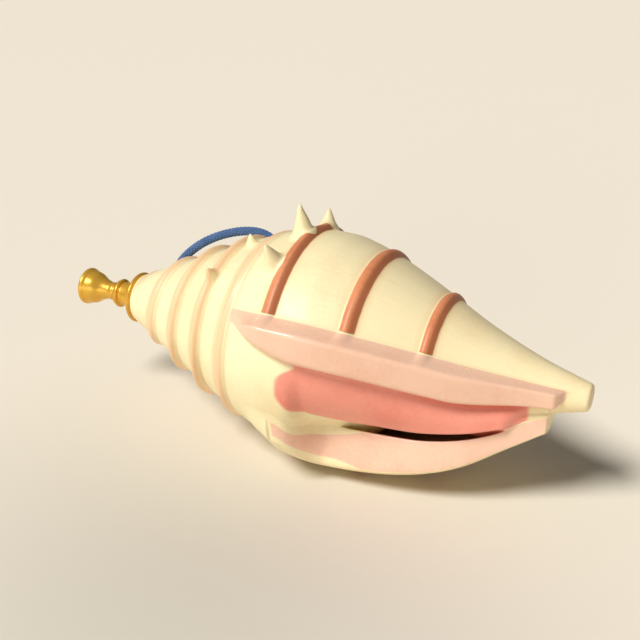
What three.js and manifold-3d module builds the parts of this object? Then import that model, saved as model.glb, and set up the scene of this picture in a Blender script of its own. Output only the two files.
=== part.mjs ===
// Conch shell horn lying on its side: one grown shell, a brass ferrule and mouthpiece at the
// cut apex, and a short carrying cord behind the spire. Millimetres, +Z up, the shell's axis
// along +X towards the canal, its mouth towards -Y.
import * as THREE from 'three';
import { mergeVertices } from 'three/addons/utils/BufferGeometryUtils.js';
import Module from 'manifold-3d';

const wasm = await Module();
wasm.setup();

// Driving dimensions. Angles are in degrees round the axis: 0 is the front, 90 the top.
const APEX_X = -131;
const TIP_X = 166.5;
const BODY_RADIUS = [[APEX_X, 15.6], [-105, 27.8], [-83, 38], [-60, 48.2], [-36, 58.4], [-18, 64.6],
  [-4, 66.8], [12, 66.4], [26, 63.4], [40, 58.6], [60, 50.2], [81, 40.2], [100, 31], [120, 22.6],
  [140, 15.4], [154, 11.4], [TIP_X, 8]];
const LIP_RADIUS = [[-26, 61.8], [-14, 68.4], [0, 73.8], [20, 75.3], [36, 74.6], [54, 72.6], [72, 69],
  [90, 63.2], [105, 55.8], [127, 40], [147, 25.5]];
const LIP_INNER_RADIUS = [[-6, 66], [4, 63], [15, 56], [31, 50.4], [50, 48], [77, 46], [90, 43.6],
  [105, 39.4], [125, 30.5], [147, 18.5]];
const LIP_END_X = 147;
const LIP_FREE_X = 124;
const INNER_LIP = { startX: -37, fullX: -12, endX: 158, depth: 14.5, height: 17.8, baseAngle: 34 };
const BELLY = { x: 4, angle: 262, height: 2.6, reachX: 30, reachAngle: 34 };
const BANDS = [{ x: -6, height: 2.8, half: 4.6 }, { x: 39.5, height: 2.4, half: 4.2 },
  { x: 80.7, height: 2.2, half: 3.6 }];
const SPIRE_CORD = { x: -103.3, pitch: 22.8, angle: 60, firstTurn: -0.9, lastTurn: 3.4, half: 4.6 };
const SPIRE_CORD_HEIGHT = [[-0.9, 0.6], [0, 2.8], [1, 3.8], [2, 4.2], [3, 1.7], [3.4, 0.5]];
const MOUTH = { startX: 34, endX: 120, wall: 5.5, slot: 7.5, wrap: 185, depth: 0.3, shoulder: 9 };
const SPINES = [{ x: -15, angle: 63, height: 16, foot: 8 }, { x: -11, angle: 90, height: 19.5, foot: 8 },
  { x: -8, angle: 114, height: 13, foot: 7.5 },
  { x: -8, angle: 152, height: 10, foot: 6.5 }, { x: -9, angle: 184, height: 13, foot: 7 },
  { x: -11, angle: 214, height: 8, foot: 6 }];
const KNOBS = [{ x: -56.5, angle: 54, height: 8 }, { x: -44.5, angle: 86, height: 8 },
  { x: -51.4, angle: 158, height: 9 }, { x: -74.2, angle: 160, height: 8 },
  { x: -49.2, angle: 192, height: 8 }, { x: -72, angle: 196, height: 7 }];
const KNOB_FOOT = 4.6;
const SOCKET_HOLE = { radius: 9.4, depth: 14, windRadius: 4.5, windDepth: 44 };
const REST_CUT = 2.6;
const GAP = 0.35;
const CORD_RADIUS = 3;
// Cord route: station along the axis, angle round it, distance from it.
const CORD_ROUTE = [[-112.6, 127, 18.6], [-112.5, 126.8, 22], [-111.9, 126.5, 25.6], [-110.6, 126.2, 29.4],
  [-108.4, 125.9, 33.3], [-105.4, 125.6, 37.2], [-101.8, 125.3, 40.9], [-97.6, 125, 44.4],
  [-93, 125, 47.6], [-88, 125, 50.5], [-82.6, 125, 53], [-77, 125, 55.1], [-71.2, 125, 56.7],
  [-65.4, 125, 57.7], [-59.6, 125, 57.9], [-54, 125, 57], [-48.8, 125, 54.8], [-44.6, 125, 51.4],
  [-41.6, 125, 47.2]];

const SECTION_STEPS = 22;
const CORAL_STEPS = 4;

const clamp = (value) => Math.min(1, Math.max(0, value));
const smooth = (start, end, value) => {
  const s = clamp((value - start) / (end - start));
  return s * s * (3 - 2 * s);
};
const mix = (a, b, share) => a + (b - a) * share;
const radians = THREE.MathUtils.degToRad;

// Smooth curve through the points of a short outline, without overshoot.
function through(outline, x) {
  const last = outline.length - 1;
  if (x <= outline[0][0]) return outline[0][1];
  if (x >= outline[last][0]) return outline[last][1];
  const slope = (i) => (outline[i + 1][1] - outline[i][1]) / (outline[i + 1][0] - outline[i][0]);
  const tangent = (i) => {
    if (i === 0) return slope(0);
    if (i === last) return slope(last - 1);
    const before = slope(i - 1);
    const after = slope(i);
    return before * after <= 0 ? 0 : (2 * before * after) / (before + after);
  };
  const i = outline.findIndex(([end]) => x < end) - 1;
  const span = outline[i + 1][0] - outline[i][0];
  const s = (x - outline[i][0]) / span;
  const hermite = (2 * s - 3) * s * s;
  return outline[i][1] * (1 + hermite) - outline[i + 1][1] * hermite
    + span * s * (1 - s) * ((1 - s) * tangent(i) - s * tangent(i + 1));
}

const polar = (x, angle, radius) => new THREE.Vector3(
  x, -radius * Math.cos(radians(angle)), radius * Math.sin(radians(angle)));

function bandHeight(x) {
  return BANDS.reduce((sum, band) => {
    const share = Math.abs(x - band.x) / band.half;
    return sum + (share < 1 ? band.height * (1 - share ** 4) : 0);
  }, 0);
}

// The body grows from the back of the last turn to the rim of the outer lip.
function outerRadius(x, angle) {
  const body = through(BODY_RADIUS, x);
  const lip = x > LIP_END_X || x < LIP_RADIUS[0][0] ? body : Math.max(body, through(LIP_RADIUS, x));
  const growth = smooth(165, 318, angle);
  const belly = BELLY.height * Math.exp(-(((x - BELLY.x) / BELLY.reachX) ** 2)
    - ((angle - BELLY.angle) / BELLY.reachAngle) ** 2);
  return mix(body, lip, growth) + belly + bandHeight(x) * (1 - smooth(284, 302, angle));
}

const rimAngle = (x) => 360 - 35 - 19 * smooth(-2, 25, x);
const lipInnerAngle = (x) => 360 - 18 - 24 * smooth(-3, 25, x);

// Share of the mouth, and of the raised inner lip, that is open at a station.
const mouthShare = (x) => smooth(-4, 18, x) * (x > LIP_END_X ? 0 : 1);
const innerLipEnd = (x) => 1 - smooth(INNER_LIP.endX - 8, INNER_LIP.endX, x);
const innerLipShare = (x) => smooth(INNER_LIP.startX, INNER_LIP.fullX, x) * innerLipEnd(x);

// Corners of the inner lip: a ledge with a level top and an upright front.
function innerLip(x) {
  const body = through(BODY_RADIUS, x);
  const share = innerLipShare(x);
  const slim = mix(0.5, 1, smooth(8, 34, body));
  const front = body * Math.cos(radians(INNER_LIP.baseAngle)) + INNER_LIP.depth * slim * share;
  const top = body * Math.sin(radians(INNER_LIP.baseAngle));
  const tall = mix(0.06, 1, smooth(INNER_LIP.startX - 3, 20, x) * innerLipEnd(x));
  const foot = top - INNER_LIP.height * slim * tall;
  const footAngle = THREE.MathUtils.radToDeg(Math.atan2(foot, front));
  return { front, top, foot, share, footAngle };
}

// One closed section across the axis, as points of angle and radius, mouth slot left shut.
function section(x) {
  const points = [];
  const ledge = innerLip(x);
  const body = through(BODY_RADIUS, x);
  const rim = rimAngle(x);
  for (let i = 0; i <= SECTION_STEPS; i += 1) {
    const angle = mix(INNER_LIP.baseAngle + 1, rim, i / SECTION_STEPS);
    points.push([angle, outerRadius(x, angle)]);
  }
  const open = mouthShare(x);
  const inner = mix(body, through(LIP_INNER_RADIUS, x), open);
  const edge = lipInnerAngle(x);
  points.push([edge, inner]);
  const rootAngle = 360 + ledge.footAngle - 3;
  const shoulderAngle = edge + MOUTH.shoulder;
  const shoulder = mix(inner + 1.2 * open, body + 1.5 * open, smooth(LIP_FREE_X, LIP_END_X - 8, x));
  for (let i = 0; i <= CORAL_STEPS; i += 1) {
    const share = i / CORAL_STEPS;
    const angle = mix(shoulderAngle, rootAngle, share);
    const wall = mix(shoulder, body * mix(1, 0.96, open), share ** 0.9);
    points.push([angle, wall]);
  }
  const footRadius = Math.hypot(ledge.front, ledge.foot);
  const topRadius = Math.hypot(ledge.front, ledge.top);
  const topAngle = THREE.MathUtils.radToDeg(Math.atan2(ledge.top, ledge.front));
  points.push([360 + ledge.footAngle, mix(body, footRadius, ledge.share)]);
  const cornerAngle = mix(INNER_LIP.baseAngle - 0.8, topAngle, ledge.share);
  points.push([360 + cornerAngle, mix(body, topRadius, ledge.share)]);
  return points.map(([angle, radius]) => polar(x, angle, radius));
}

// Section of the hollow that is cut behind the mouth slot, wrapping back under the last turn.
function hollowSection(x) {
  const share = smooth(MOUTH.startX - 4, 56, x) * (1 - smooth(92, MOUTH.endX + 3, x));
  const edge = lipInnerAngle(x);
  const rim = through(LIP_INNER_RADIUS, x);
  const slot = mix(3, MOUTH.slot, share);
  const wrap = mix(16, MOUTH.wrap, share);
  const steps = 9;
  const outerWall = [];
  const innerWall = [];
  for (let i = 1; i <= steps; i += 1) {
    const angle = edge - 6 - (wrap * i) / steps;
    const deep = outerRadius(x, angle) - bandHeight(x) - MOUTH.wall;
    const radius = mix(rim, deep, smooth(0, 40, edge - angle));
    const gape = slot + MOUTH.depth * share * radius * smooth(0, 60, edge - angle) * (1 - 0.6 * (i / steps));
    outerWall.push([angle, radius]);
    innerWall.unshift([angle, radius - gape]);
  }
  const shoulder = edge + MOUTH.shoulder;
  const mouth = [[shoulder, rim - 3 - slot * 0.5], [shoulder, rim + 6], [edge, rim + 6], [edge, rim]];
  return [...mouth, ...outerWall, ...innerWall].map(([angle, radius]) => polar(x, angle, radius));
}

// Triangles that close a convex ring, in the ring's own order.
const fan = (ring) => Array.from({ length: ring.length - 2 }, (_, i) => [0, i + 1, i + 2]);

// Triangles that close a flat ring across the axis, in the ring's own order.
function flatCap(ring) {
  const outline = ring.map((p) => new THREE.Vector2(p.y, p.z));
  const turn = Math.sign(THREE.ShapeUtils.area(outline));
  return THREE.ShapeUtils.triangulateShape(outline, []).map(([a, b, c]) => (
    Math.sign(THREE.ShapeUtils.area([outline[a], outline[b], outline[c]])) === turn ? [a, b, c] : [a, c, b]));
}

// Closed skin over rings of points that all have the same count.
function loft(rings, cap = fan) {
  const count = rings[0].length;
  const positions = rings.flat().flatMap((p) => [p.x, p.y, p.z]);
  const indices = [];
  for (let ring = 0; ring < rings.length - 1; ring += 1) {
    for (let i = 0; i < count; i += 1) {
      const a = ring * count + i;
      const b = ring * count + ((i + 1) % count);
      indices.push(a, b, a + count, b, b + count, a + count);
    }
  }
  const end = (rings.length - 1) * count;
  cap(rings[0]).forEach(([a, b, c]) => indices.push(a, c, b));
  cap(rings[rings.length - 1]).forEach(([a, b, c]) => indices.push(end + a, end + b, end + c));
  const geometry = new THREE.BufferGeometry();
  geometry.setAttribute('position', new THREE.Float32BufferAttribute(positions, 3));
  geometry.setIndex(indices);
  return geometry;
}

// A closed geometry as a solid, turned right side out.
function solid(geometry) {
  const bare = geometry.clone();
  bare.deleteAttribute('normal');
  bare.deleteAttribute('uv');
  const merged = mergeVertices(bare, 1e-4);
  const vertProperties = merged.attributes.position.array;
  const triVerts = new Uint32Array(merged.index.array);
  const corner = (i) => new THREE.Vector3().fromArray(vertProperties, triVerts[i] * 3);
  let volume = 0;
  for (let i = 0; i < triVerts.length; i += 3) volume += corner(i).dot(corner(i + 1).cross(corner(i + 2)));
  if (volume < 0) {
    for (let i = 0; i < triVerts.length; i += 3) {
      [triVerts[i + 1], triVerts[i + 2]] = [triVerts[i + 2], triVerts[i + 1]];
    }
  }
  return new wasm.Manifold(new wasm.Mesh({ numProp: 3, vertProperties, triVerts }));
}

function geometryOf(manifold) {
  const mesh = manifold.getMesh();
  const geometry = new THREE.BufferGeometry();
  geometry.setAttribute('position', new THREE.Float32BufferAttribute(mesh.vertProperties, 3));
  geometry.setIndex(Array.from(mesh.triVerts));
  geometry.computeVertexNormals();
  return geometry;
}

// Turned piece about the X axis from a closed outline of [x, radius] points.
function turned(outline, sides) {
  const points = [...outline, outline[0]].map(([x, radius]) => new THREE.Vector2(radius, x));
  return new THREE.LatheGeometry(points, sides).rotateZ(-Math.PI / 2);
}

const roundCorner = (x, radius, size, from, to, steps) => Array.from({ length: steps + 1 }, (_, i) => {
  const angle = radians(mix(from, to, i / steps));
  return [x + size * Math.cos(angle), radius + size * Math.sin(angle)];
});

// A tube of round section along points.
function tube(points, radius, sides, steps) {
  const ring = new THREE.Shape(Array.from({ length: sides }, (_, i) => {
    const angle = (i * 2 * Math.PI) / sides;
    return new THREE.Vector2(radius * Math.cos(angle), radius * Math.sin(angle));
  }));
  const extrudePath = new THREE.CatmullRomCurve3(points);
  return new THREE.ExtrudeGeometry(ring, { steps, extrudePath, bevelEnabled: false });
}

// The raised cord that winds round the spire, half sunk in the body.
function spireCord() {
  const stepsPerTurn = 18;
  const turns = SPIRE_CORD.lastTurn - SPIRE_CORD.firstTurn;
  const steps = Math.round(turns * stepsPerTurn);
  const rings = [];
  for (let i = 0; i <= steps; i += 1) {
    const turn = mix(SPIRE_CORD.firstTurn, SPIRE_CORD.lastTurn, i / steps);
    const angle = SPIRE_CORD.angle + turn * 360;
    const x = SPIRE_CORD.x + SPIRE_CORD.pitch * turn;
    const height = through(SPIRE_CORD_HEIGHT, turn);
    const half = SPIRE_CORD.half * mix(0.45, 1, smooth(0, 2.6, height));
    const shoulder = [half * 0.5, height * 0.85];
    const across = [[-half, -0.6], [-shoulder[0], shoulder[1]], shoulder, [half, -0.6], [0, -4]];
    rings.push(across.map(([dx, up]) => {
      const station = Math.max(APEX_X + 0.5, x + dx);
      return polar(station, angle, through(BODY_RADIUS, station) + up);
    }));
  }
  return loft(rings);
}

// A blunt thorn that stands on the shell and leans a little towards the apex.
function thorn({ x, angle, height, foot }) {
  const ground = outerRadius(x, angle) - bandHeight(x);
  const along = new THREE.Vector3(1, 0, 0);
  const side = new THREE.Vector3().crossVectors(polar(0, angle, 1), along);
  const rings = [[-0.3, 1.1], [0.06, 0.86], [0.36, 0.58], [0.72, 0.3], [1, 0.1]].map(([up, width]) => {
    const centre = polar(x - 2 * Math.max(0, up) ** 2, angle, ground + up * height);
    return Array.from({ length: 6 }, (_, i) => {
      const turn = (i * 2 * Math.PI) / 6;
      return centre.clone().addScaledVector(along, foot * width * Math.cos(turn))
        .addScaledVector(side, foot * width * Math.sin(turn));
    });
  });
  return loft(rings);
}

function stations() {
  const list = [APEX_X, -118, -106, -94, -83, -72, -60, -48, -36, -27, -20, -14];
  BANDS.forEach(({ x, half }) => list.push(x - half - 0.4, x - half * 0.55, x + half * 0.55, x + half + 0.4));
  list.push(4, 9, 15, 21, 28, 48, 54, 61, 69, 91, 98, 106, 114, 122, 130, 137, 143);
  list.push(LIP_END_X, LIP_END_X + 1.5, 152, 155, INNER_LIP.endX, 162, TIP_X, TIP_X + 2);
  return list.sort((a, b) => a - b);
}

const cordPoints = CORD_ROUTE.map(([x, angle, radius]) => polar(x, angle, radius));

function makeShell() {
  const rings = stations().map((x) => {
    const ring = section(Math.min(x, TIP_X));
    return x > TIP_X ? ring.map((p) => new THREE.Vector3(x, p.y * 0.62, p.z * 0.62)) : ring;
  });
  let shell = solid(loft(rings, flatCap)).add(solid(spireCord()));
  SPINES.forEach((spine) => {
    shell = shell.add(solid(thorn(spine)));
  });
  KNOBS.forEach((knob) => {
    shell = shell.add(solid(thorn({ ...knob, foot: KNOB_FOOT })));
  });
  const hollowStations = [MOUTH.startX, 40, 46, 53, 61, 70, 80, 90, 99, 107, 114, MOUTH.endX];
  shell = shell.subtract(solid(loft(hollowStations.map(hollowSection), flatCap)));
  const { radius, depth, windRadius, windDepth } = SOCKET_HOLE;
  const hole = [[APEX_X - 5, 0], [APEX_X - 5, radius], [APEX_X + depth, radius],
    [APEX_X + depth + 2, windRadius], [APEX_X + windDepth, windRadius], [APEX_X + windDepth, 0]];
  shell = shell.subtract(solid(turned(hole, 24)));
  shell = shell.subtract(solid(tube(cordPoints, CORD_RADIUS + GAP, 10, 36)));
  const { min } = shell.boundingBox();
  const floor = new THREE.BoxGeometry(400, 300, 20).translate(0, 0, min[2] + REST_CUT - 10);
  return shell.subtract(solid(floor));
}

const FERRULE = { socketX: -151, flangeRadius: 16.8, flangeX: APEX_X - GAP, bore: 6.2, plugRadius: 9 };
const MOUTHPIECE = { rimX: -176.6, rimRadius: 12.4, throatRadius: 5.6, throatX: -157, shankRadius: 5.8,
  endX: -138, boreRadius: 2.7 };

function makeFerrule() {
  const { socketX, flangeRadius, flangeX, bore, plugRadius } = FERRULE;
  return turned([[socketX, bore], [socketX, 8.4], ...roundCorner(socketX + 3, 8.2, 1.4, 150, 30, 4),
    [socketX + 6, 8], [socketX + 10, 8.3], [socketX + 13, 9.6], [socketX + 15.6, 12.4],
    [flangeX - 3.2, flangeRadius - 1.3],
    ...roundCorner(flangeX - 1.6, flangeRadius - 1.4, 1.4, 120, 20, 3), [flangeX, flangeRadius - 1.4],
    [flangeX, plugRadius], [APEX_X + 12.5, plugRadius - 0.4], [APEX_X + 12.5, 4], [MOUTHPIECE.endX + 1, 4],
    [MOUTHPIECE.endX + 1, bore]], 24);
}

function makeMouthpiece() {
  const { rimX, rimRadius, throatRadius, throatX, shankRadius, endX, boreRadius } = MOUTHPIECE;
  return turned([[throatX - 3, boreRadius], [throatX - 7, 5.4], [throatX - 12, 8.4], [rimX + 2.2, 10],
    ...roundCorner(rimX + 1.7, rimRadius - 1.7, 1.7, 210, 20, 6), [rimX + 4.4, rimRadius - 0.8],
    [rimX + 9, rimRadius - 2.2], [throatX - 5, throatRadius + 1.6], [throatX, throatRadius],
    [FERRULE.socketX - 1, shankRadius], [endX, shankRadius - 0.2], [endX, boreRadius + 0.8]], 24);
}

const shellMaterial = new THREE.MeshStandardMaterial({ color: 0xf3e2c0, roughness: 0.55, metalness: 0 });
const brassMaterial = new THREE.MeshStandardMaterial({ color: 0xc99a3c, roughness: 0.28, metalness: 1 });
const cordMaterial = new THREE.MeshStandardMaterial({ color: 0x465f92, roughness: 0.9, metalness: 0 });

function named(name, geometry, material) {
  const mesh = new THREE.Mesh(geometry, material);
  mesh.name = name;
  return mesh;
}

const horn = new THREE.Group();
horn.add(named('shell', geometryOf(makeShell()), shellMaterial));
horn.add(named('ferrule', geometryOf(solid(makeFerrule())), brassMaterial));
horn.add(named('mouthpiece', geometryOf(solid(makeMouthpiece())), brassMaterial.clone()));
const box = new THREE.Box3().setFromObject(horn);
const centre = box.getCenter(new THREE.Vector3());
horn.add(named('cord', geometryOf(solid(tube(cordPoints, CORD_RADIUS, 10, 36))), cordMaterial));
horn.position.set(-centre.x, -centre.y, -box.min.z);

export default horn;
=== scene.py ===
import math

import bpy
import numpy as np
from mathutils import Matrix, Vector


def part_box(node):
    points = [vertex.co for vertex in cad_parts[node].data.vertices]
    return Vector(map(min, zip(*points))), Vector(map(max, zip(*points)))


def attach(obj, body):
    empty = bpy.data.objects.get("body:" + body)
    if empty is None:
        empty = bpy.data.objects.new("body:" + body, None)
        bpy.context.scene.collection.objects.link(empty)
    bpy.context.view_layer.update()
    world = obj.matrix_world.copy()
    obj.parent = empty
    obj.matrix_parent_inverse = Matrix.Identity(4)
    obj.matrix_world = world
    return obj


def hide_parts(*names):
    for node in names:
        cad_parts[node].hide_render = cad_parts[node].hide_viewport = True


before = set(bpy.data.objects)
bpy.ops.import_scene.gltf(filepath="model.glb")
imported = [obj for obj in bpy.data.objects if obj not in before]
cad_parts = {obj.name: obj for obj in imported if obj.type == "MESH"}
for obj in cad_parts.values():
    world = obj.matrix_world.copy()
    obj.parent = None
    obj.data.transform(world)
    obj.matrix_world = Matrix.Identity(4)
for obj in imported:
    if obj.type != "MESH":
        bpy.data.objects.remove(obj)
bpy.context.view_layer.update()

MM = 0.001

# Driving sizes in millimetres and degrees: x runs along the shell's axis from the apex to the
# canal, angle runs round it from the front (0) over the top (90).
APEX_X = -131.0
TIP_X = 166.5
PLUG_END_X = -118.5
BODY_RADIUS = [(APEX_X, 15.6), (-105, 27.8), (-83, 38), (-60, 48.2), (-36, 58.4), (-18, 64.6),
               (-4, 66.8), (12, 66.4), (26, 63.4), (40, 58.6), (60, 50.2), (81, 40.2), (100, 31),
               (120, 22.6), (140, 15.4), (154, 11.4), (TIP_X, 8)]
LIP_RADIUS = [(-26, 61.8), (-14, 68.4), (0, 73.8), (20, 75.3), (36, 74.6), (54, 72.6), (72, 69),
              (90, 63.2), (105, 55.8), (127, 40), (147, 25.5)]
LIP_INNER_RADIUS = [(-6, 66), (4, 63), (15, 56), (31, 50.4), (50, 48), (77, 46), (90, 43.6),
                    (105, 39.4), (125, 30.5), (147, 18.5)]
LIP_END_X = 147.0
LIP_FREE_X = 124.0
LEDGE_START_X, LEDGE_FULL_X, LEDGE_END_X = -37.0, -12.0, 158.0
LEDGE_DEPTH, LEDGE_HEIGHT, LEDGE_BASE_ANGLE = 14.5, 17.8, 34.0
BELLY = {"x": 4, "angle": 262, "height": 2.6, "reach_x": 30, "reach_angle": 34}
# Brown bands: station, height and half width.
BANDS = [(-6, 2.8, 4.6), (39.5, 2.4, 4.2), (80.7, 2.2, 3.6)]
# The raised rib round the spire: where turn 0 lies, its pitch and half width, its height by turn.
RIB_X, RIB_PITCH, RIB_ANGLE, RIB_HALF = -103.3, 22.8, 60.0, 4.6
RIB_HEIGHT = [(-0.9, 0.6), (0, 2.8), (1, 3.8), (2, 4.2), (3, 1.7), (3.4, 0.5)]
MOUTH_START_X, MOUTH_END_X, WALL, SLOT, WRAP, GAPE, SHOULDER = 34.0, 120.0, 5.5, 7.5, 185.0, 0.3, 9.0
# Spines and knobs: station, angle, height and foot radius.
SPINES = [(-15, 63, 16, 8), (-11, 90, 19.5, 8), (-8, 114, 13, 7.5), (-8, 152, 10, 6.5), (-9, 184, 13, 7),
          (-11, 214, 8, 6)]
KNOBS = [(-56.5, 54, 8, 4.6), (-44.5, 86, 8, 5), (-51.4, 158, 9, 4.6), (-74.2, 160, 8, 4.6),
         (-49.2, 192, 8, 4.6), (-72, 196, 7, 4.6)]
THORNS = SPINES + KNOBS
THORN_OUTLINE = [(0, 0.99), (0.08, 0.95), (0.3, 0.7), (0.56, 0.38), (0.82, 0.12), (1.08, 0)]
THORN_LEAN, THORN_FULL_HEIGHT = 2.0, 16.0
SOCKET_RADIUS, SOCKET_DEPTH, WIND_RADIUS, WIND_DEPTH = 9.4, 14.0, 4.5, 44.0
CORD_RADIUS, CORE_RADIUS = 3.0, 2.1
# The carrying cord's route: station, angle and distance from the axis.
CORD_ROUTE = [(-112.6, 127, 18.6), (-112.5, 126.8, 22), (-111.9, 126.5, 25.6), (-110.6, 126.2, 29.4),
              (-108.4, 125.9, 33.3), (-105.4, 125.6, 37.2), (-101.8, 125.3, 40.9), (-97.6, 125, 44.4),
              (-93, 125, 47.6), (-88, 125, 50.5), (-82.6, 125, 53), (-77, 125, 55.1), (-71.2, 125, 56.7),
              (-65.4, 125, 57.7), (-59.6, 125, 57.9), (-54, 125, 57), (-48.8, 125, 54.8),
              (-44.6, 125, 51.4), (-41.6, 125, 47.2)]
# Drilled holes for the cord: station, angle and stretch along the axis.
CORD_HOLES = [(-112.3, 126.6, 1.0), (-45.6, 125.0, 1.6)]
HOLE_DEPTH, HOLE_RADIUS, HOLE_EDGE_RADIUS = 8.0, 3.4, 4.4
# Where the coral starts along the axis, by the angle from the front, and where it ends.
CORAL_START = [(-44, 66), (-38, 53), (-30, 39), (-21, 23), (-11, 8), (-3, 3), (5, 4), (12, 14)]
CORAL_END_X = 137.0
FAR_OUTSIDE = -9.0

ferrule_low, ferrule_high = (Vector(corner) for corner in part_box("ferrule"))
AXIS = (ferrule_low + ferrule_high) / 2
AXIS.x = ferrule_high.x - PLUG_END_X * MM


def polar(x, angle, radius):
    """A place on the shell's own grid, in the frame's metres."""
    turn = math.radians(angle)
    return AXIS + Vector((x, -radius * math.cos(turn), radius * math.sin(turn))) * MM


# Camera and cord route ---------------------------------------------------------------------

VIEW_AZIMUTH = math.radians(25.86)
VIEW_ELEVATION = math.radians(26.59)
VIEW_DISTANCE = 0.622
VIEW_RISE = 0.0119
VIEW_SLOPE = 0.31527  # half the view's width over its distance


def make_camera():
    data = bpy.data.cameras.new("camera")
    data.angle = 2 * math.atan(VIEW_SLOPE)
    camera = bpy.data.objects.new("camera", data)
    bpy.context.scene.collection.objects.link(camera)
    back = Vector((math.sin(VIEW_AZIMUTH) * math.cos(VIEW_ELEVATION),
                   -math.cos(VIEW_AZIMUTH) * math.cos(VIEW_ELEVATION), math.sin(VIEW_ELEVATION)))
    target = AXIS + Vector((0, 0, VIEW_RISE))
    camera.location = target + back * VIEW_DISTANCE
    camera.rotation_euler = back.to_track_quat("Z", "Y").to_euler()
    bpy.context.scene.camera = camera


make_camera()
CORD_POINTS = [polar(*place) for place in CORD_ROUTE]


# Small helpers -----------------------------------------------------------------------------

def smooth(start, end, value):
    share = np.clip((value - start) / (end - start), 0, 1)
    return share * share * (3 - 2 * share)


def mix(a, b, share):
    return a + (b - a) * share


def through(outline, x):
    """Smooth curve through a short outline, without overshoot."""
    xs, ys = (np.array(column, float) for column in zip(*outline))
    slope = np.diff(ys) / np.diff(xs)
    tangent = np.concatenate([slope[:1], np.zeros(len(xs) - 2), slope[-1:]])
    before, after = slope[:-1], slope[1:]
    same = before * after > 0
    tangent[1:-1][same] = (2 * before * after)[same] / (before + after)[same]
    x = np.clip(np.asarray(x, float), xs[0], xs[-1])
    i = np.clip(np.searchsorted(xs, x, side="right") - 1, 0, len(xs) - 2)
    span = xs[i + 1] - xs[i]
    s = (x - xs[i]) / span
    bend = (2 * s - 3) * s * s
    lean = (1 - s) * tangent[i] - s * tangent[i + 1]
    return ys[i] * (1 + bend) - ys[i + 1] * bend + span * s * (1 - s) * lean


# Finish colours and painted shades on the usual 0 to 255 scale.
COLOURS = {
    "spire cream": (253, 240, 192),
    "body cream": (255, 237, 188),
    "cream blotch": (246, 214, 160),
    "growth line": (232, 196, 144),
    "band halo": (244, 206, 150),
    "rib peach": (250, 208, 160),
    "rib groove shade": (214, 176, 122),
    "band brown": (212, 128, 82),
    "band light": (226, 146, 100),
    "band line": (184, 106, 66),
    "band shaded side": (180, 108, 70),
    "lip pink": (252, 206, 176),
    "lip blotch": (246, 190, 160),
    "coral": (250, 158, 134),
    "coral blotch": (240, 140, 118),
    "hollow shade": (136, 112, 96),
    "brass patina": (196, 142, 54),
    "ferrule brass": (226, 172, 60),
    "mouthpiece brass": (230, 178, 64),
    "cord blue": (60, 94, 142),
    "cord worn": (86, 118, 164),
    "floor painted shade": (212, 205, 190),
    "floor far": (249, 239, 220),
    "studio air": (236, 240, 248),
}


def paint(name):
    """A colour from the table, finish or painted shade, as the shader wants it."""
    def channel(value):
        value /= 255
        return value / 12.92 if value <= 0.04045 else ((value + 0.055) / 1.055) ** 2.4
    return (*(channel(value) for value in COLOURS[name]), 1)


def add_object(name, mesh):
    piece = bpy.data.objects.new(name, mesh)
    bpy.context.scene.collection.objects.link(piece)
    return piece


def closed_mesh(name, points, faces):
    """A mesh whose faces all point outwards, smooth shaded."""
    points = np.asarray(points, float)
    corners = np.array([(f[0], f[i], f[i + 1]) for f in faces for i in range(1, len(f) - 1)])
    a, b, c = (points[corners[:, k]] for k in range(3))
    if np.einsum("ij,ij->i", a, np.cross(b, c)).sum() < 0:
        faces = [tuple(reversed(f)) for f in faces]
    mesh = bpy.data.meshes.new(name)
    mesh.from_pydata(points.tolist(), [], faces)
    mesh.polygons.foreach_set("use_smooth", np.ones(len(mesh.polygons), bool))
    mesh.update()
    return mesh


def set_attribute(mesh, name, values):
    layer = mesh.attributes.new(name, "FLOAT", "POINT")
    layer.data.foreach_set("value", np.asarray(values, np.float32).ravel())


# The shell's surface -----------------------------------------------------------------------

def band_edge(x):
    """How far inside a brown band a station is, in millimetres; negative is outside."""
    return np.max([half - np.abs(x - centre) for centre, _, half in BANDS], axis=0)


def band_side(x):
    """Where a station lies across the nearest brown band: -1 at its apex edge, 1 at the other; it places the
    painted shade on each band's far half.
    """
    centre, _, half = min(BANDS, key=lambda band: abs(x - band[0]))
    return np.clip((x - centre) / half, -1, 1)


def band_height(x):
    total = np.zeros_like(np.asarray(x, float))
    for centre, height, half in BANDS:
        share = np.clip(np.abs(x - centre) / half, 0, 1)
        total = total + height * 1.06 * (1 - share ** 2.2) ** 1.15
    return total


def spire_rib(x, angle):
    """Height of the raised rib that winds round the spire, and the distance inside its edge."""
    turns = (x - RIB_X) / RIB_PITCH - (angle - RIB_ANGLE) / 360
    whole = np.round(turns)
    turn = whole + (angle - RIB_ANGLE) / 360
    across = np.abs(turns - whole) * RIB_PITCH
    present = smooth(-1.15, -0.8, turn) * (1 - smooth(3.2, 3.5, turn))
    height = through(RIB_HEIGHT, turn)
    half = RIB_HALF * mix(0.55, 1, smooth(0, 2.6, height))
    share = np.clip(across / half, 0, 1)
    return height * present * (1 - share ** 2) ** 1.5 * 1.1, (half - across) * present - 3 * (1 - present)


def thorn_height(x, angle, radius):
    total = np.zeros(np.broadcast(x, angle).shape)
    for centre, place, height, foot in THORNS:
        round_it = np.radians((angle - place + 180) % 360 - 180) * radius
        reach = np.hypot(x - centre, round_it) / foot
        total = np.maximum(total, height * through(THORN_OUTLINE, reach))
    return total


def cord_hole(x, angle, radius):
    """Depth of the two drilled holes that take the cord's ends."""
    total = np.zeros(np.broadcast(x, angle).shape)
    for centre, place, stretch in CORD_HOLES:
        round_it = np.radians((angle - place + 180) % 360 - 180) * radius
        reach = np.hypot((x - centre) / stretch, round_it)
        total = np.maximum(total, HOLE_DEPTH * (1 - smooth(HOLE_RADIUS, HOLE_EDGE_RADIUS, reach)))
    return total


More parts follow.
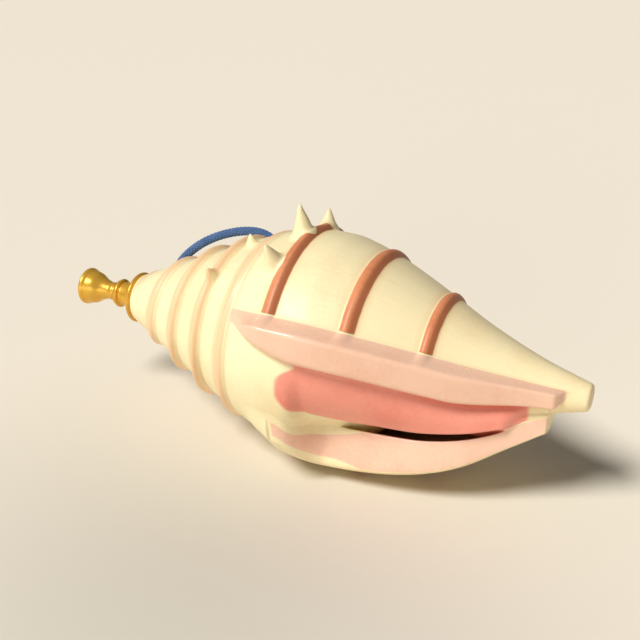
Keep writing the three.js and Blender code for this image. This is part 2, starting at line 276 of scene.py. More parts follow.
def plain_radius(x, angle):
    """The body without bands, cords and thorns; it grows up to the outer lip's rim, then falls back."""
    body = through(BODY_RADIUS, x)
    lip = np.where((x > LIP_END_X) | (x < LIP_RADIUS[0][0]), body, np.maximum(body, through(LIP_RADIUS, x)))
    growth = smooth(165, 318, angle) * (1 - smooth(326, 343, angle))
    belly = BELLY["height"] * np.exp(-((x - BELLY["x"]) / BELLY["reach_x"]) ** 2
                                     - ((angle - BELLY["angle"]) / BELLY["reach_angle"]) ** 2)
    return mix(body, lip, growth) + belly


def outer_radius(x, angle):
    plain = plain_radius(x, angle)
    cord, _ = spire_rib(x, angle)
    thorns = thorn_height(x, angle, plain)
    banded = band_height(x) * (1 - smooth(284, 302, angle)) * (1 - smooth(0, 5, thorns))
    return plain + banded + cord + thorns - cord_hole(x, angle, plain)


# Angles round the outside, closer together at each spine.
OUTER_END_ANGLE = 306.0
OUTER_ANGLES = np.unique(np.concatenate(
    [np.linspace(LEDGE_BASE_ANGLE + 1, OUTER_END_ANGLE, 132)]
    + [place + np.array([-4.2, -3, -2, -1.2, -0.5, 0, 0.5, 1.2, 2, 3, 4.2])
       for _, place, _, _ in SPINES]))
OUTER_ANGLES = OUTER_ANGLES[np.concatenate([[True], np.diff(OUTER_ANGLES) > 0.25])]
STRETCH_FROM = 280.0
# Points along each stretch of an outline.
COUNTS = {"lip": 18, "hollow_out": 24, "hollow_end": 5, "hollow_back": 24, "shoulder": 7, "coral": 34,
          "root": 5, "ledge_front": 15, "ledge_top": 11}


def straight(start, end, count):
    """Points from start towards end, without the end."""
    share = np.arange(count)[:, None] / count
    return np.asarray(start) + (np.asarray(end) - np.asarray(start)) * share


def at(angle, radius):
    turn = np.radians(angle)
    return np.stack([radius * np.cos(turn), radius * np.sin(turn)], -1)


def rim_angle(x):
    """Where the outside ends, at the outer lip's rim."""
    return 360 - 35 - 19 * float(smooth(-2, 25, x))


def lip_inner_angle(x):
    """Where the outer lip's inner edge lies."""
    return 360 - 18 - 24 * float(smooth(-3, 25, x))


def ledge_corners(x, body):
    """How far the inner lip is raised at a station, and its front, top and foot."""
    end = 1 - float(smooth(LEDGE_END_X - 8, LEDGE_END_X, x))
    raised = float(smooth(LEDGE_START_X, LEDGE_FULL_X, x)) * end
    slim = mix(0.5, 1, float(smooth(8, 34, body)))
    base = math.radians(LEDGE_BASE_ANGLE)
    front = body * math.cos(base) + LEDGE_DEPTH * slim * raised
    top = body * math.sin(base)
    tall = mix(0.06, 1, float(smooth(LEDGE_START_X - 3, 20, x)) * end)
    return raised, front, top, top - LEDGE_HEIGHT * slim * tall


def hollow_depth(x):
    """How deep the hollow behind the slot goes at a station, from 0 to 1."""
    return float(smooth(MOUTH_START_X - 4, 56, x) * (1 - smooth(92, MOUTH_END_X + 3, x)))


def hollow_walls(x, edge, inner, shoulder_radius):
    """The hollow's outer wall going in, its inner wall coming out, and the slot's inner side."""
    cut = float(smooth(MOUTH_START_X - 6, MOUTH_START_X + 4, x)
                * (1 - smooth(MOUTH_END_X - 2, MOUTH_END_X + 8, x)))
    deep = hollow_depth(x)
    slot = mix(3, SLOT, deep)
    share = np.arange(1, COUNTS["hollow_out"] + 1) / COUNTS["hollow_out"]
    angle = edge - 6 - mix(16, WRAP, deep) * share
    radius = mix(float(through(LIP_INNER_RADIUS, x)), plain_radius(x, angle) - WALL,
                 smooth(0, 40, edge - angle))
    gape = slot + GAPE * deep * radius * smooth(0, 60, edge - angle) * (1 - 0.6 * share)
    shut = at(edge + 3 * share, mix(inner, shoulder_radius, share / 3))
    outer_wall = mix(shut, at(angle, radius), cut)
    inner_wall = mix(at(edge + 4 + 2 * share, mix(inner, shoulder_radius, 0.5)),
                     at(angle, radius - gape)[::-1], cut)
    slot_side = mix(at(edge + 6.5, mix(inner, shoulder_radius, 0.7)), at(edge + 3, inner - slot), cut)
    return outer_wall, inner_wall, slot_side


def round_corners(path, eased):
    """The outline with its eased points averaged with their neighbours."""
    for _ in range(3):
        average = (np.roll(path, 1, 0) + 2 * path + np.roll(path, -1, 0)) / 4
        path = np.where(eased[:, None], average, path)
    return path


def section(x):
    """One closed outline across the axis as (front, up) points, its thorns' lean and its masks."""
    body = float(through(BODY_RADIUS, x))
    rim = rim_angle(x)
    stretch = (rim - STRETCH_FROM) / (OUTER_END_ANGLE - STRETCH_FROM)
    angles = np.where(OUTER_ANGLES <= STRETCH_FROM, OUTER_ANGLES,
                      STRETCH_FROM + (OUTER_ANGLES - STRETCH_FROM) * stretch)
    outside = at(angles, outer_radius(x, angles))
    leaning = thorn_height(x, angles, plain_radius(x, angles))

    in_mouth = float(smooth(-4, 18, x)) * (x <= LIP_END_X)
    raised, front, top, foot = ledge_corners(x, body)
    foot_angle = 360 + math.degrees(math.atan2(foot, front))
    top_angle = 360 + math.degrees(math.atan2(top, front))

    edge = lip_inner_angle(x)
    inner = mix(float(outer_radius(x, edge)), float(through(LIP_INNER_RADIUS, x)), in_mouth)
    lip_edge = at(edge, inner)
    shoulder_angle = edge + SHOULDER
    shoulder_radius = mix(inner + 1.2 * in_mouth, body + 1.5 * in_mouth,
                          float(smooth(LIP_FREE_X, LIP_END_X - 8, x)))
    shoulder_radius = mix(float(outer_radius(x, shoulder_angle)), shoulder_radius, in_mouth)
    shoulder = at(shoulder_angle, shoulder_radius)
    hollow_out, hollow_back, slot_side = hollow_walls(x, edge, inner, shoulder_radius)

    root_angle = foot_angle - 3
    root_radius = mix(float(outer_radius(x, root_angle)), body * 0.96, in_mouth)
    root = at(root_angle, root_radius)
    rise = np.arange(COUNTS["coral"]) / COUNTS["coral"]
    coral_angle = mix(shoulder_angle, root_angle, rise)
    coral_radius = mix(outer_radius(x, coral_angle),
                       mix(shoulder_radius, root_radius, rise ** 0.9) + 1.2 * np.sin(np.pi * rise), in_mouth)
    foot_point = mix(at(foot_angle, float(outer_radius(x, foot_angle))), np.array([front, foot]), raised)
    corner_angle = mix(360 + LEDGE_BASE_ANGLE - 0.8, top_angle, raised)
    top_point = mix(at(corner_angle, float(outer_radius(x, corner_angle))), np.array([front, top]), raised)

    parts = {
        "outside": outside,
        "lip": straight(outside[-1], lip_edge, COUNTS["lip"] + 1)[1:],
        "hollow_out": np.concatenate([[lip_edge], hollow_out[:-1]]),
        "hollow_end": straight(hollow_out[-1], hollow_back[0], COUNTS["hollow_end"]),
        "hollow_back": hollow_back,
        "shoulder": straight(slot_side, shoulder, COUNTS["shoulder"]),
        "coral": at(coral_angle, coral_radius),
        "root": straight(root, foot_point, COUNTS["root"]),
        "ledge_front": straight(foot_point, top_point, COUNTS["ledge_front"]),
        "ledge_top": straight(top_point, outside[0], COUNTS["ledge_top"]),
    }
    plain_ledge = raised < 0.02
    if plain_ledge:
        for name, start, end in (("root", root_angle, foot_angle), ("ledge_front", foot_angle, corner_angle),
                                 ("ledge_top", corner_angle, 360 + LEDGE_BASE_ANGLE + 1)):
            turn = start + (end - start) * np.arange(COUNTS[name]) / COUNTS[name]
            parts[name] = at(turn, outer_radius(x, turn))
    if in_mouth == 0:
        turn = rim + (edge - rim) * np.arange(1, COUNTS["lip"] + 1) / (COUNTS["lip"] + 1)
        parts["lip"] = at(turn, outer_radius(x, turn))
    path = np.concatenate(list(parts.values()))
    names = np.repeat(list(parts), [len(points) for points in parts.values()])
    shift = np.zeros(len(path))
    shift[:len(leaning)] = -THORN_LEAN * np.clip(leaning / THORN_FULL_HEIGHT, 0, 1) ** 2

    if in_mouth > 0 or raised > 0.02:
        eased = names != "outside"
        eased[len(outside) - 3:len(outside)] = True
        eased[:3] = True
        path = round_corners(path, eased)
    return path, shift, section_masks(x, names, path, angles, leaning, in_mouth)


def section_masks(x, names, path, angles, leaning, in_mouth):
    """Distances in millimetres inside each differently coloured zone, for one outline."""
    count = len(names)
    outside = names == "outside"
    band = np.full(count, FAR_OUTSIDE)
    band[outside] = (band_edge(np.full(outside.sum(), x))
                     - 4 * leaning - 9 * smooth(290, 300, angles))
    turn = np.degrees(np.arctan2(path[:, 1], path[:, 0])) % 360
    _, rib = spire_rib(x, turn)
    step = np.linalg.norm(np.roll(path, -1, 0) - path, axis=1)
    run = np.concatenate([[0], np.cumsum(step)[:-1]])

    def inside(first, last):
        start = run[np.argmax(names == first)]
        end = run[count - 1 - np.argmax((names == last)[::-1])]
        return np.minimum(run - start, end - run)

    ledge_pink = np.minimum(inside("root", "ledge_top") + 0.4, (x - LEDGE_START_X - 4) * 0.8)
    ledge_pink = np.minimum(ledge_pink, (LEDGE_END_X - 3 - x) * 0.8)
    lip_width = mix(-4.5, 3.5, float(smooth(26, 66, x)))
    lip_pink = np.minimum(inside("lip", "hollow_out"), inside("lip", "lip") + lip_width)
    lip_pink = np.minimum(lip_pink, (x + 2) * 0.6) if in_mouth > 0 else np.full(count, FAR_OUTSIDE)
    pink = np.maximum(ledge_pink, lip_pink)

    coral = np.full(count, FAR_OUTSIDE)
    left = through(CORAL_START, (turn + 180) % 360 - 180)
    zone = np.isin(names, ["hollow_back", "shoulder", "coral", "root"])
    coral[zone] = np.minimum((x - left[zone]) * 0.55, (CORAL_END_X - x) * 0.7)
    depth = np.zeros(count)
    for name, start, end in (("hollow_out", 0, 1), ("hollow_end", 1, 1), ("hollow_back", 1, 0)):
        zone = names == name
        depth[zone] = np.linspace(start, end, zone.sum()) * hollow_depth(x)
    station, side = np.full(count, x), np.full(count, band_side(x))
    round_it = np.degrees(np.unwrap(np.arctan2(path[:, 1], path[:, 0])))
    return np.stack([band, side, rib, pink, coral, depth, station, round_it], -1)


# What each column of the masks is called on the mesh.
MASKS = ("band_edge", "band_side", "cord_edge", "pink_edge", "coral_edge", "depth", "station", "turn")


def shell_stations():
    parts = [np.arange(APEX_X, -30, 1.15), np.arange(-30, 2, 0.62), np.arange(2, TIP_X, 1.12),
             [x for x, _, _, _ in THORNS], [LIP_END_X - 0.4, LIP_END_X, LIP_END_X + 0.5, LIP_END_X + 1.1]]
    stations = np.unique(np.round(np.concatenate(parts), 3))
    return stations[np.concatenate([[True], np.diff(stations) > 0.3])]


def drilled_rings(first):
    """The socket and the wind hole in the cut apex, from the inside out."""
    turn = np.arctan2(first[:, 2], -first[:, 1])
    profile = ((WIND_DEPTH, WIND_RADIUS), (SOCKET_DEPTH + 2, WIND_RADIUS), (SOCKET_DEPTH, SOCKET_RADIUS),
               (0, SOCKET_RADIUS))
    return [np.column_stack([np.full(len(first), APEX_X + depth), -radius * np.cos(turn),
                             radius * np.sin(turn)]) for depth, radius in profile]


def tip_rings(last):
    """A small rounded face at the end of the canal."""
    rounding = ((0.7, 0.97), (1.4, 0.88), (1.9, 0.74), (2.0, 0.55))
    return [np.column_stack([last[:, 0] + forward, last[:, 1:] * scale]) for forward, scale in rounding]


def make_shell():
    body_rings, body_masks = [], []
    for x in shell_stations():
        path, shift, mask = section(x)
        body_rings.append(np.column_stack([x + shift, -path[:, 0], path[:, 1]]))
        body_masks.append(mask)
    inner, end = drilled_rings(body_rings[0]), tip_rings(body_rings[-1])
    rings = inner + body_rings + end
    masks = body_masks[:1] * len(inner) + body_masks + body_masks[-1:] * len(end)

    count = len(rings[0])
    ids = np.arange(len(rings) * count).reshape(len(rings), count)
    nxt = np.roll(ids, -1, 1)
    quads = np.stack([ids[:-1], nxt[:-1], nxt[1:], ids[1:]], -1).reshape(-1, 4)
    bottom, tip = ids.size, ids.size + 1
    faces = [tuple(quad) for quad in quads.tolist()]
    faces += [(int(nxt[0, i]), int(ids[0, i]), bottom) for i in range(count)]
    faces += [(int(ids[-1, i]), int(nxt[-1, i]), tip) for i in range(count)]
    ends = [[APEX_X + WIND_DEPTH, 0, 0], [rings[-1][0, 0], 0, 0]]
    points = np.concatenate([*rings, ends]) * MM + np.array(AXIS)
    points[:, 2] = np.maximum(points[:, 2], 0)
    mesh = closed_mesh("shell_body", points, faces)
    table = np.concatenate([*masks, masks[0][:1], masks[-1][:1]])
    for column, name in enumerate(MASKS):
        set_attribute(mesh, name, table[:, column])
    return add_object("shell_body", mesh)


# Turned brass ------------------------------------------------------------------------------

TURNED_SIDES = 120
FLANGE_X = APEX_X - 0.35
SOCKET_X = -151.0
CUP_X = -176.6
THROAT_X = -157.0
SHANK_END_X = -138.0


def arc(x, radius, size, start, end, steps):
    turns = np.radians(np.linspace(start, end, steps + 1))
    return [(x + size * math.cos(t), radius + size * math.sin(t)) for t in turns]


def curve_run(points, steps):
    """Extra points on a smooth curve through a few given ones."""
    xs = np.linspace(points[0][0], points[-1][0], steps + 1)
    return list(zip(xs, through(points, xs)))


def turned(name, outline):
    """A closed outline of (x, radius) points turned about the shell's axis."""
    outline = np.array(outline)
    keep = np.linalg.norm(outline - np.roll(outline, 1, 0), axis=1) > 1e-4
    outline = outline[keep]
    turn = np.linspace(0, 2 * np.pi, TURNED_SIDES, endpoint=False)
    x = np.repeat(outline[:, :1], TURNED_SIDES, 1)
    points = np.stack([x, -outline[:, 1:] * np.cos(turn), outline[:, 1:] * np.sin(turn)], -1)
    points = points.reshape(-1, 3) * MM + np.array(AXIS)
    ids = np.arange(len(points)).reshape(len(outline), TURNED_SIDES)
    down, across = np.roll(ids, -1, 0), np.roll(ids, -1, 1)
    quads = np.stack([ids, across, np.roll(down, -1, 1), down], -1).reshape(-1, 4)
    return add_object(name, closed_mesh(name, points, [tuple(quad) for quad in quads.tolist()]))


def make_ferrule():
    outline = [(SOCKET_X, 6.2), (SOCKET_X, 7.9), (SOCKET_X + 0.5, 8.4)]
    outline += arc(SOCKET_X + 3, 8.2, 1.4, 150, 30, 10)
    outline += [(SOCKET_X + 4.6, 8.1), (SOCKET_X + 5.0, 7.8)]
    outline += curve_run([(SOCKET_X + 5.6, 7.8), (SOCKET_X + 10, 8.3), (SOCKET_X + 13, 9.6),
                          (SOCKET_X + 15.6, 12.4), (FLANGE_X - 3.4, 15.2)], 16)
    outline += arc(FLANGE_X - 1.6, 15.4, 1.4, 165, 0, 12)
    outline += [(FLANGE_X, 15.0), (FLANGE_X, 9), (APEX_X + 12, 8.7), (PLUG_END_X, 8.2), (PLUG_END_X, 4),
                (SHANK_END_X + 1, 4), (SHANK_END_X + 1, 6.2)]
    return turned("brass_ferrule", outline)


def make_mouthpiece():
    bowl = curve_run([(CUP_X + 2.2, 10.0), (THROAT_X - 12, 8.4), (THROAT_X - 7, 5.4),
                      (THROAT_X - 3.4, 3.0)], 20)
    outline = [(THROAT_X - 3, 2.7)] + bowl[::-1]
    outline += arc(CUP_X + 1.7, 10.7, 1.7, 215, 70, 14)
    outline += [(CUP_X + 3.3, 12.0)]
    outline += curve_run([(CUP_X + 3.9, 11.5), (CUP_X + 9, 10.2), (THROAT_X - 5, 7.2), (THROAT_X, 5.7)], 18)
    outline += [(THROAT_X + 1.4, 5.6), (THROAT_X + 1.8, 6.1), (THROAT_X + 3.6, 6.1), (THROAT_X + 4.0, 5.8),
                (SOCKET_X - 1, 5.8), (SHANK_END_X, 5.6), (SHANK_END_X, 3.5)]
    return turned("brass_mouthpiece", outline)


# Node helpers ------------------------------------------------------------------------------

class Tree:
    """Short way to lay nodes and join them."""

    def __init__(self, tree):
        self.tree = tree

    def node(self, kind, inputs=None, **settings):
        node = self.tree.nodes.new(kind)
        for key, value in settings.items():
            setattr(node, key, value)
        for key, value in (inputs or {}).items():
            self.feed(node.inputs[key], value)
        return node

    def feed(self, socket, value):
        if isinstance(value, bpy.types.NodeSocket):
            self.tree.links.new(value, socket)
        elif isinstance(value, bpy.types.Node):
            self.tree.links.new(next(s for s in value.outputs if s.enabled), socket)
        else:
            socket.default_value = value

    def math(self, operation, a, b=0.0, c=0.0):
        return self.node("ShaderNodeMath", {0: a, 1: b, 2: c}, operation=operation).outputs[0]

    def ramp(self, value, low, high, out_low=0.0, out_high=1.0):
        return self.node("ShaderNodeMapRange", {"Value": value, "From Min": low, "From Max": high,
                                                "To Min": out_low, "To Max": out_high},
                         interpolation_type="SMOOTHSTEP").outputs["Result"]

    def blend(self, share, a, b):
        node = self.node("ShaderNodeMix", data_type="RGBA")
        self.feed(node.inputs[0], share)
        self.feed(node.inputs[6], a)
        self.feed(node.inputs[7], b)
        return node.outputs[2]

    def attribute(self, name):
        return self.node("ShaderNodeAttribute", attribute_name=name).outputs["Fac"]

    def noise(self, scale, detail=4.0, vector=None, roughness=0.55):
        inputs = {"Scale": scale, "Detail": detail, "Roughness": roughness}
        inputs["Vector"] = vector if vector is not None else self.node("ShaderNodeTexCoord").outputs["Object"]
        return self.node("ShaderNodeTexNoise", inputs).outputs["Fac"]


def make_mottle_group():
    """Slow blotches and fine speckle over any surface, as one mask."""
    group = bpy.data.node_groups.new("mottle", "ShaderNodeTree")
    for name, default in (("Blotch Scale", 40.0), ("Speckle Scale", 900.0), ("Speckle Share", 0.3)):
        socket = group.interface.new_socket(name, in_out="INPUT", socket_type="NodeSocketFloat")
        socket.default_value = default
    group.interface.new_socket("Mask", in_out="OUTPUT", socket_type="NodeSocketFloat")
    tree = Tree(group)
    entry = tree.node("NodeGroupInput")
    blotch = tree.noise(entry.outputs["Blotch Scale"], 5.0)
    speckle = tree.noise(entry.outputs["Speckle Scale"], 2.0)
    mixed = tree.node("ShaderNodeMix", {0: entry.outputs["Speckle Share"], 2: blotch, 3: speckle})
    tree.node("NodeGroupOutput", {0: mixed.outputs[0]})
    return group


MOTTLE = make_mottle_group()


def new_material(name):
    material = bpy.data.materials.new(name)
    material.use_nodes = True
    tree = Tree(material.node_tree)
    shader = material.node_tree.nodes["Principled BSDF"]
    return material, tree, shader


def mottle(tree, blotch, speckle, share):
    return tree.node("ShaderNodeGroup", {0: blotch, 1: speckle, 2: share}, node_tree=MOTTLE).outputs["Mask"]


def shell_material():
    material, tree, shader = new_material("shell_colour_and_painted_shade")
    blotches = mottle(tree, 26.0, 420.0, 0.25)
    station = tree.attribute("station")
    turn = tree.attribute("turn")
    band, rib = tree.attribute("band_edge"), tree.attribute("cord_edge")
    pink, coral, depth = tree.attribute("pink_edge"), tree.attribute("coral_edge"), tree.attribute("depth")
    ragged = tree.math("MULTIPLY_ADD", tree.noise(160.0, 3.0), 1.6, -0.8)

    cream = tree.blend(tree.ramp(station, -30.0, 60.0), paint("spire cream"), paint("body cream"))
    cream = tree.blend(tree.ramp(blotches, 0.42, 0.72, 0.0, 0.5), cream, paint("cream blotch"))
    lines = tree.node("ShaderNodeCombineXYZ", {0: tree.math("MULTIPLY", turn, 0.35),
                                               1: tree.math("MULTIPLY", station, 0.012)})
    growth = tree.noise(1.0, 6.0, lines.outputs[0], 0.7)
    cream = tree.blend(tree.ramp(growth, 0.5, 0.78, 0.0, 0.22), cream, paint("growth line"))
    halo = tree.ramp(tree.math("ADD", band, ragged), -5.0, 0.5, 0.0, 0.45)
    cream = tree.blend(halo, cream, paint("band halo"))
    on_rib = tree.ramp(rib, 0.6, 2.0)
    cream = tree.blend(tree.math("MULTIPLY", on_rib, 0.95), cream, paint("rib peach"))
    # Painted shade: the crease along each edge of the spire rib is darkened to tan, where occlusion shade
    # would fall.
    groove = tree.math("MULTIPLY", tree.ramp(rib, -3.0, 0.0), tree.ramp(rib, 0.0, 1.4, 1.0, 0.0))
    cream = tree.blend(tree.math("MULTIPLY", groove, 0.4), cream, paint("rib groove shade"))

    brown = tree.blend(tree.ramp(blotches, 0.35, 0.65), paint("band brown"), paint("band light"))
    brown = tree.blend(tree.ramp(growth, 0.45, 0.7, 0.0, 0.3), brown, paint("band line"))
    # Painted shade: the half of each brown band away from the key light is darkened, standing in for the
    # shading across the band's raised profile.
    band_shade = tree.ramp(tree.attribute("band_side"), 0.02, 0.4, 0.0, 0.75)
    brown = tree.blend(band_shade, brown, paint("band shaded side"))
    on_band = tree.ramp(tree.math("MULTIPLY_ADD", ragged, 0.35, band), -0.25, 0.45)
    colour = tree.blend(on_band, cream, brown)

    rosy = tree.blend(tree.ramp(blotches, 0.4, 0.7), paint("lip pink"), paint("lip blotch"))
    on_pink = tree.ramp(tree.math("MULTIPLY_ADD", ragged, 0.3, pink), -0.4, 0.8)
    colour = tree.blend(on_pink, colour, rosy)

    flesh = tree.blend(tree.ramp(blotches, 0.35, 0.7), paint("coral"), paint("coral blotch"))
    on_coral = tree.ramp(tree.math("MULTIPLY_ADD", ragged, 0.8, coral), -0.8, 1.2)
    colour = tree.blend(on_coral, colour, flesh)
    colour = tree.blend(tree.ramp(depth, 0.02, 0.4, 0.0, 0.9), colour, paint("hollow shade"))
    tree.feed(shader.inputs["Base Color"], colour)

    gloss = tree.math("MAXIMUM", on_pink, on_coral)
    rough = tree.math("MULTIPLY_ADD", gloss, -0.16, tree.ramp(blotches, 0.3, 0.7, 0.42, 0.56))
    tree.feed(shader.inputs["Roughness"], rough)
    shader.inputs["Coat Roughness"].default_value = 0.3
    tree.feed(shader.inputs["Coat Weight"], tree.math("MULTIPLY_ADD", gloss, 0.35, 0.08))

    around = tree.node("ShaderNodeCombineXYZ", {0: tree.math("MULTIPLY", station, 1.1),
                                                1: tree.math("MULTIPLY", turn, 0.02)})
    striae = tree.noise(1.0, 3.0, around.outputs[0], 0.6)
    relief = tree.math("MULTIPLY_ADD", striae, 0.5, tree.math("MULTIPLY", growth, 0.8))
    relief = tree.math("MULTIPLY", relief, tree.math("SUBTRACT", 1.0, gloss))
    bump = tree.node("ShaderNodeBump", {"Strength": 0.22, "Distance": 0.0008, "Height": relief})
    tree.feed(shader.inputs["Normal"], bump.outputs[0])
    return material


def brass_material(name, tint, roughness):
    material, tree, shader = new_material(name)
    patina = mottle(tree, 90.0, 1600.0, 0.4)
    colour = tree.blend(tree.ramp(patina, 0.45, 0.75, 0.0, 0.5), tint, paint("brass patina"))
    tree.feed(shader.inputs["Base Color"], colour)
    shader.inputs["Metallic"].default_value = 0.4
    tree.feed(shader.inputs["Roughness"], tree.ramp(patina, 0.3, 0.7, roughness, roughness + 0.14))
    place = tree.node("ShaderNodeMapping", {0: tree.node("ShaderNodeTexCoord").outputs["Object"],
                                            3: (2600.0, 40.0, 40.0)})
    turning = tree.noise(1.0, 2.0, place.outputs[0])
    bump = tree.node("ShaderNodeBump", {"Strength": 0.12, "Distance": 0.0002, "Height": turning})
    tree.feed(shader.inputs["Normal"], bump.outputs[0])
    return material


def cord_material():
    material, tree, shader = new_material("cord_finish")
    worn = mottle(tree, 160.0, 2600.0, 0.5)
    colour = tree.blend(tree.ramp(worn, 0.35, 0.68), paint("cord blue"), paint("cord worn"))
    tree.feed(shader.inputs["Base Color"], colour)
    tree.feed(shader.inputs["Roughness"], tree.ramp(worn, 0.3, 0.7, 0.7, 0.92))
    shader.inputs["Sheen Weight"].default_value = 0.25
    fibre = tree.noise(2400.0, 2.0)
    bump = tree.node("ShaderNodeBump", {"Strength": 0.4, "Distance": 0.0002, "Height": fibre})
    tree.feed(shader.inputs["Normal"], bump.outputs[0])
    return material


# Braided cord ------------------------------------------------------------------------------

BRAID = {"Cord Radius": CORD_RADIUS * MM, "Strand Radius": 0.0006, "Turn Length": 0.021,
         "Over And Under": 0.0002}
STRANDS_EACH_WAY = 8


def make_braid_tree(material):
    """Strands that wind both ways round a path and pass over and under each other."""
    group = bpy.data.node_groups.new("braid", "GeometryNodeTree")
    group.interface.new_socket("Path", in_out="INPUT", socket_type="NodeSocketGeometry")
    for name, size in BRAID.items():
        socket = group.interface.new_socket(name, in_out="INPUT", socket_type="NodeSocketFloat")
        socket.default_value = size
    strands = group.interface.new_socket("Strands Each Way", in_out="INPUT", socket_type="NodeSocketInt")
    strands.default_value = STRANDS_EACH_WAY
    group.interface.new_socket("Braid", in_out="OUTPUT", socket_type="NodeSocketGeometry")
    tree = Tree(group)
    entry = tree.node("NodeGroupInput").outputs
    count = entry["Strands Each Way"]
    fine = tree.node("GeometryNodeResampleCurve", {"Curve": entry["Path"], "Count": 230})
    copies = tree.node("GeometryNodeDuplicateElements", {"Geometry": fine.outputs[0],
                                                         "Amount": tree.math("MULTIPLY", count, 2.0)},
                       domain="SPLINE")
    index = copies.outputs["Duplicate Index"]
    way = tree.math("SUBTRACT", tree.math("MULTIPLY", tree.math("LESS_THAN", index, count), 2.0), 1.0)
    length = tree.node("GeometryNodeSplineParameter").outputs["Length"]
    wind = tree.math("MULTIPLY", tree.math("DIVIDE", length, entry["Turn Length"]), 2 * math.pi)
    place = tree.math("MULTIPLY", tree.math("DIVIDE", index, count), 2 * math.pi)
    angle = tree.math("MULTIPLY_ADD", wind, way, place)
    weave = tree.math("MULTIPLY", tree.math("COSINE", tree.math("MULTIPLY", wind, count)), way)
    reach = tree.math("SUBTRACT", entry["Cord Radius"], entry["Strand Radius"])
    reach = tree.math("SUBTRACT", reach, entry["Over And Under"])
    reach = tree.math("MULTIPLY_ADD", weave, entry["Over And Under"], reach)
    normal = tree.node("GeometryNodeInputNormal").outputs[0]
    tangent = tree.node("GeometryNodeInputTangent").outputs[0]
    side = tree.node("ShaderNodeVectorMath", {0: tangent, 1: normal}, operation="CROSS_PRODUCT").outputs[0]
    up = tree.math("MULTIPLY", tree.math("COSINE", angle), reach)
    across = tree.math("MULTIPLY", tree.math("SINE", angle), reach)
    one = tree.node("ShaderNodeVectorMath", {0: normal, "Scale": up}, operation="SCALE")
    other = tree.node("ShaderNodeVectorMath", {0: side, "Scale": across}, operation="SCALE")
    offset = tree.node("ShaderNodeVectorMath", {0: one.outputs[0], 1: other.outputs[0]},
                       operation="ADD").outputs[0]
    moved = tree.node("GeometryNodeSetPosition", {"Geometry": copies.outputs[0], "Offset": offset})
    profile = tree.node("GeometryNodeCurvePrimitiveCircle",
                        {"Resolution": 6, "Radius": entry["Strand Radius"]})
    strand_mesh = tree.node("GeometryNodeCurveToMesh", {"Curve": moved.outputs[0],
                                                        "Profile Curve": profile.outputs[0],
                                                        "Fill Caps": True})
    core_profile = tree.node("GeometryNodeCurvePrimitiveCircle",
                             {"Resolution": 24, "Radius": CORE_RADIUS * MM})
    core = tree.node("GeometryNodeCurveToMesh", {"Curve": fine.outputs[0],
                                                 "Profile Curve": core_profile.outputs[0],
                                                 "Fill Caps": True})
    joined = tree.node("GeometryNodeJoinGeometry")
    tree.feed(joined.inputs[0], core.outputs[0])
    tree.feed(joined.inputs[0], strand_mesh.outputs[0])
    real = tree.node("GeometryNodeRealizeInstances", {0: joined.outputs[0]})
    painted = tree.node("GeometryNodeSetMaterial", {"Geometry": real.outputs[0], "Material": material})
    tree.node("NodeGroupOutput", {0: painted.outputs[0]})
    return group


def make_cord(material):
    data = bpy.data.curves.new("cord_path", "CURVE")
    data.dimensions = "3D"
    spline = data.splines.new("NURBS")
    spline.points.add(len(CORD_POINTS) - 1)
    for point, place in zip(spline.points, CORD_POINTS):
        point.co = (*place, 1)
    spline.use_endpoint_u = True
    spline.order_u = 4
    spline.resolution_u = 12
    path = add_object("cord_path", data)
    path.modifiers.new("braid", "NODES").node_group = make_braid_tree(material)
    bpy.context.view_layer.update()
    shown = path.evaluated_get(bpy.context.evaluated_depsgraph_get())
    mesh = bpy.data.meshes.new_from_object(shown)
    mesh.name = "cord_braid"
    mesh.polygons.foreach_set("use_smooth", np.ones(len(mesh.polygons), bool))
    bpy.data.objects.remove(path)
    return add_object("cord_braid", mesh)


# Floor and light ---------------------------------------------------------------------------

FLOOR_HALF = 4.0
# Painted shadow: the floor's colour darkens towards this centre, a painted pool of shade under the shell.
SHADE_CENTRE = (0.01, -0.13, 0.0)
SHADE_START, SHADE_END = 0.02, 0.32
STUDIO_STRENGTH = 0.1
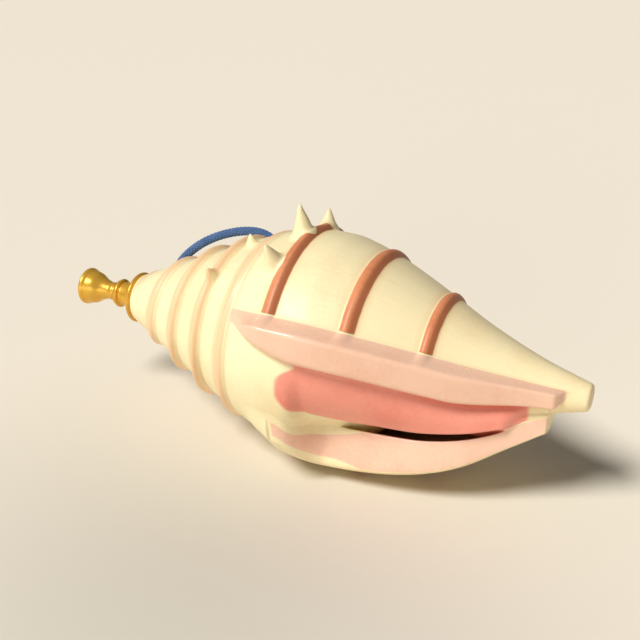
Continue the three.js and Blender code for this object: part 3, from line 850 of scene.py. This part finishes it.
# Suns: name, direction towards the sun, strength and width in degrees.
SUNS = (("key", (-0.315, -0.519, 0.79), 3.25, 20), ("fill", (0.05, -0.99, 0.03), 0.9, 40))
SUN_TINT = (1.0, 0.985, 0.965)


def make_stage():
    mesh = bpy.data.meshes.new("floor")
    corners = [(x * FLOOR_HALF, y * FLOOR_HALF, 0) for x, y in ((-1, -1), (1, -1), (1, 1), (-1, 1))]
    mesh.from_pydata(corners, [], [(0, 1, 2, 3)])
    floor = add_object("floor", mesh)
    material, tree, shader = new_material("floor_with_painted_shade")
    here = tree.node("ShaderNodeTexCoord").outputs["Object"]
    away = tree.node("ShaderNodeVectorMath", {0: here, 1: SHADE_CENTRE},
                     operation="DISTANCE").outputs["Value"]
    # Painted shade: the floor is coloured darker near the shell and lighter further out.
    out_of_painted_shade = tree.math("MULTIPLY_ADD", tree.noise(3.0, 2.0), 0.04, away)
    out_of_painted_shade = tree.ramp(out_of_painted_shade, SHADE_START, SHADE_END)
    tree.feed(shader.inputs["Base Color"], tree.blend(out_of_painted_shade, paint("floor painted shade"), paint("floor far")))
    shader.inputs["Roughness"].default_value = 0.9
    shader.inputs["Specular IOR Level"].default_value = 0.2
    mesh.materials.append(material)

    world = bpy.data.worlds.new("studio")
    world.use_nodes = True
    world.node_tree.nodes["Background"].inputs["Color"].default_value = paint("studio air")
    world.node_tree.nodes["Background"].inputs["Strength"].default_value = STUDIO_STRENGTH
    bpy.context.scene.world = world

    for name, direction, energy, spread in SUNS:
        data = bpy.data.lights.new(name, "SUN")
        data.energy = energy
        data.angle = math.radians(spread)
        data.color = SUN_TINT
        light = bpy.data.objects.new(name, data)
        light.rotation_euler = Vector(direction).to_track_quat("Z", "Y").to_euler()
        bpy.context.scene.collection.objects.link(light)
    bpy.context.scene.view_settings.view_transform = "Standard"


# Assembly ----------------------------------------------------------------------------------

def place(piece, slot, node, material=None):
    if material:
        piece.data.materials.append(material)
    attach(piece, "root")
    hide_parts(node)
    return piece


cord = place(make_cord(cord_material()), "cord", "cord")
place(make_shell(), "shell", "shell", shell_material())
place(make_ferrule(), "brass", "ferrule", brass_material("ferrule_brass", paint("ferrule brass"), 0.26))
place(make_mouthpiece(), "brass", "mouthpiece",
      brass_material("mouthpiece_brass", paint("mouthpiece brass"), 0.24))
make_stage()
